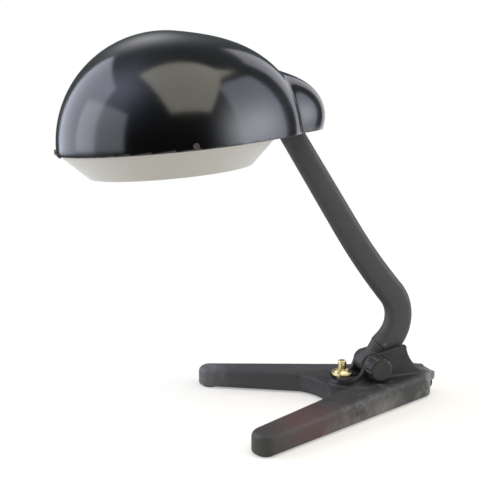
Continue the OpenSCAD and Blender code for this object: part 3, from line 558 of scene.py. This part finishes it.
bm = bmesh.new()
bmesh.ops.create_uvsphere(bm, u_segments=240, v_segments=171, radius=1.0)
turn = Matrix.Rotation(math.radians(90 - HOOD_LIFT), 3, "Y")
for v in bm.verts:
    # the sphere's pole lies along the hood, with its rings close together there
    angle = math.acos(max(-1, min(1, v.co.z)))
    ring_angle = angle * (0.3 + 0.7 * angle / math.pi)
    flat = Vector((v.co.x, v.co.y, 0))
    if flat.length > 1e-9:
        flat.normalize()
    # near the hood the rings take its narrow oval, so that one of them runs along the crease
    narrow = math.hypot(flat.x, HOOD_NARROW * flat.y) - 1 if flat.length > 0 else 0
    ring_angle /= 1 + narrow * max(0, min(1, (1.4 - ring_angle) / 0.9))
    d = turn @ (flat * math.sin(ring_angle) + Vector((0, 0, math.cos(ring_angle))))
    v.co = d * shade_reach(d) * MM
geom = list(bm.verts) + list(bm.edges) + list(bm.faces)
bmesh.ops.bisect_plane(
    bm, geom=geom, dist=1e-6, plane_co=(0, 0, 0), plane_no=(0, 0, -1), clear_outer=True)


def score_slot(bm, level, near):
    """New edges along the sides and the end of the arm's slot, across the faces near it."""
    sides = (((0, -SLOT_HALF, 0), (0, 1, 0)), ((0, SLOT_HALF, 0), (0, 1, 0)))
    for spot, facing in (*sides, ((0, 0, level), (0, 0, 1))):
        back = [f for f in bm.faces if near(f.calc_center_median())]
        geom = list(dict.fromkeys(g for f in back for g in (*f.verts, *f.edges, f)))
        bmesh.ops.bisect_plane(bm, geom=geom, dist=1e-6, plane_co=spot, plane_no=facing)


score_slot(bm, SLOT_TOP, lambda at: at.x > HOOD_X and at.z < HOOD_Z)
middles = [(f, f.calc_center_median()) for f in bm.faces]
slot = [f for f, at in middles if at.x > HOOD_X and abs(at.y) < SLOT_HALF and at.z < SLOT_TOP]
bmesh.ops.delete(bm, geom=slot, context="FACES")
# slivers that the cut left along the rim are closed up, and the rim is set level again
rim_edges = [e for e in bm.edges if max(v.co.z for v in e.verts) < RIM_BAND]
bmesh.ops.dissolve_degenerate(bm, dist=SLIVER, edges=rim_edges)
for v in bm.verts:
    if v.is_boundary and v.co.z < RIM_HIGH:
        v.co.z = 0
bmesh.ops.transform(bm, matrix=shade_frame, verts=bm.verts)
bmesh.ops.recalc_face_normals(bm, faces=bm.faces)
shell = put(bm, "shade_enamelled", "shade", enamel_black, enamel_white)
wall = shell.modifiers.new("sheet", "SOLIDIFY")
wall.thickness, wall.offset = SHADE_SHEET, -1
wall.material_offset, wall.material_offset_rim = 1, 0
rim = edge_bevel(shell, width=0.0005, angle=50)
rim.harden_normals = False
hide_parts("shade_shell")
# a steel bracket in the hood turns on the neck bolt, between two fibre washers
dress(oiled_steel, "neck_bolt", "neck_nut", "neck_bracket")
dress(fibre, "neck_washers")

# ---------------------------------------------------------------------------------------------
# Anti-glare ring. A cone spun from aluminium sheet, with a short collar that three screws hold in
# the rim. A milky matt lacquer takes its shine. A notch at its back clears the arm.
RING_SHEET = 0.001
RING_BACK_X, NOTCH_X, NOTCH_LOW = 0.07, 0.088, -0.012
ring_lacquer, tree = new_material("matt_lacquer_on_aluminium")
where = add(tree, "ShaderNodeTexCoord").outputs["Object"]
# circles from the spinning tool, 0.7 mm apart, show through the lacquer, one for each height
height = add(tree, "ShaderNodeVectorMath", {
    0: where, 1: shade_frame.col[2].xyz}, operation="DOT_PRODUCT").outputs["Value"]
circles = add(tree, "ShaderNodeTexNoise", {
    "W": height, "Scale": 1500, "Detail": 2}, noise_dimensions="1D").outputs["Fac"]
rough = add(tree, "ShaderNodeMapRange", {
    "Value": circles, **NOISE_SPAN, "To Min": 0.42, "To Max": 0.56})
bump = add(tree, "ShaderNodeBump", {"Strength": 0.2, "Distance": 0.00005, "Height": circles})
coat = add(tree, "ShaderNodeBsdfPrincipled", {
    "Base Color": colour("#cfcdc5"), "Roughness": rough.outputs[0],
    "IOR": 1.5, "Normal": bump.outputs[0]})
add(tree, "ShaderNodeOutputMaterial", {"Surface": coat.outputs[0]})

bm = bmesh.new()
verts = [bm.verts.new((r * MM, 0, z * MM)) for r, z in (
    (100.2, 7), (100.2, 3.5), (100.2, 0.5), (100.1, 0.05), (99.8, -0.4), (96.0, -4.16),
    (92.2, -7.93), (88.4, -11.7), (84.5, -15.55), (80.6, -19.4), (76.7, -23.3), (76.3, -23.65),
    (75.9, -23.8),
)]
for v, w in zip(verts, verts[1:]):
    bm.edges.new((v, w))
bmesh.ops.spin(
    bm, geom=list(bm.verts) + list(bm.edges), cent=(0, 0, 0), axis=(0, 0, 1),
    angle=math.tau, steps=192, use_merge=True)
score_slot(bm, NOTCH_LOW, lambda at: at.x > RING_BACK_X)
middles = [(f, f.calc_center_median()) for f in bm.faces]
notch = [f for f, at in middles if at.x > NOTCH_X and abs(at.y) < SLOT_HALF and at.z > NOTCH_LOW]
bmesh.ops.delete(bm, geom=notch, context="FACES")
bmesh.ops.recalc_face_normals(bm, faces=bm.faces)
if sum(f.normal.dot(f.calc_center_median()) for f in bm.faces) < 0:
    bmesh.ops.reverse_faces(bm, faces=bm.faces)
bmesh.ops.transform(bm, matrix=shade_frame, verts=bm.verts)
ring_piece = put(bm, "ring_spun", "shade", ring_lacquer)
wall = ring_piece.modifiers.new("sheet", "SOLIDIFY")
wall.thickness, wall.offset, wall.use_even_offset = RING_SHEET, -1, True
edge_bevel(ring_piece)
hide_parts("glare_ring")
dress(oiled_steel, "ring_screws")

# ---------------------------------------------------------------------------------------------
# Lamp holder. A moulded Bakelite shell with three grooves, screwed on a brass nipple in the
# bracket's plate. A brass thread sleeve and a contact sit inside it.
HOLDER_BACK, HOLDER_HIGH = 84.5, 24
bulb_axis = shade_frame @ Matrix.Translation((HOLDER_BACK * MM, 0, HOLDER_HIGH * MM))
bulb_axis = bulb_axis @ Matrix.Rotation(math.radians(-90), 4, "Y")
bm = lathe([
    (5.2, 0), (14.8, 0), (15.8, 0.6), (16, 1.4), (16, 4.6), (18.2, 5.2), (19, 6.0), (19, 13.6),
    (18.4, 14.2), (18.4, 15.0), (19, 15.6), (19, 17.4), (18.4, 18.0), (18.4, 18.8), (19, 19.4),
    (19, 21.2), (18.4, 21.8), (18.4, 22.6), (19, 23.2), (19, 40.6), (18.6, 41.6), (17.6, 42),
    (15.0, 42), (14.2, 41.4), (14.2, 16.2), (5.2, 16.2),
], steps=96)
bmesh.ops.transform(bm, matrix=bulb_axis, verts=bm.verts)
holder = put(bm, "holder_moulded", "shade", bakelite)
edge_bevel(holder, width=0.0002, angle=60)
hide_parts("lamp_holder")
dress(brass, "holder_nipple", "thread_sleeve", "holder_contact")

# ---------------------------------------------------------------------------------------------
# Bulb. Opal glass, blown to a globe with a tapered neck, cemented in a pressed screw cap that
# has a rolled thread and a soldered contact.
CAP_SEAT, CAP_LEN, GLOBE_R, GLASS_LEN = 24.0, 22.0, 30.0, 80.0
THREAD_PITCH, THREAD_DEPTH, THREAD_R = 0.0036, 0.035, 13.2
# opal glass is a milky white, even but for 50 mm clouds, with a clear gloss. The cap is bright
# metal, scuffed every 3 mm.
opal = plain_finish("opal_glass", "#f1efe8", 0.12, patch=20, uneven=0.02)
cap_metal = plain_finish("bulb_cap_metal", "#c9c7c0", 0.3, patch=300, metallic=1.0, grain=0.05)
globe = []
for degrees in range(50, 180, 5):
    round_ = math.radians(degrees)
    globe.append((GLOBE_R * math.sin(round_), GLASS_LEN - GLOBE_R - GLOBE_R * math.cos(round_)))
glass_neck = [(0, 0), (12.8, 0), (12.9, 3), (13.1, 8), (13.6, 13), (15.2, 18), (18.6, 24.6)]
glass = glass_neck + globe + [(0, GLASS_LEN)]
bm = lathe([(r, z + CAP_SEAT + CAP_LEN) for r, z in glass], steps=96)
bmesh.ops.transform(bm, matrix=bulb_axis, verts=bm.verts)
bulb = put(bm, "bulb_opal", "shade", opal)
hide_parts("bulb_glass")
rows = [(THREAD_R, 1.5 + 0.3 * k) for k in range(68)]
bm = lathe([(0, 0), (11.0, 0), (12.6, 0.8), *rows, (12.9, CAP_LEN), (0, CAP_LEN)], steps=72)
for v in bm.verts:
    if v.co.xy.length > 0.0128 and 0.0015 < v.co.z < 0.0218:
        wave = math.cos(math.tau * v.co.z / THREAD_PITCH - math.atan2(v.co.y, v.co.x))
        v.co.xy *= 1 - THREAD_DEPTH * (0.5 - 0.5 * wave)
bmesh.ops.translate(bm, vec=(0, 0, CAP_SEAT * MM), verts=bm.verts)
bmesh.ops.transform(bm, matrix=bulb_axis, verts=bm.verts)
cap = put(bm, "cap_threaded", "shade", cap_metal)
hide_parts("bulb_cap")
dress(cap_metal, "bulb_contact")
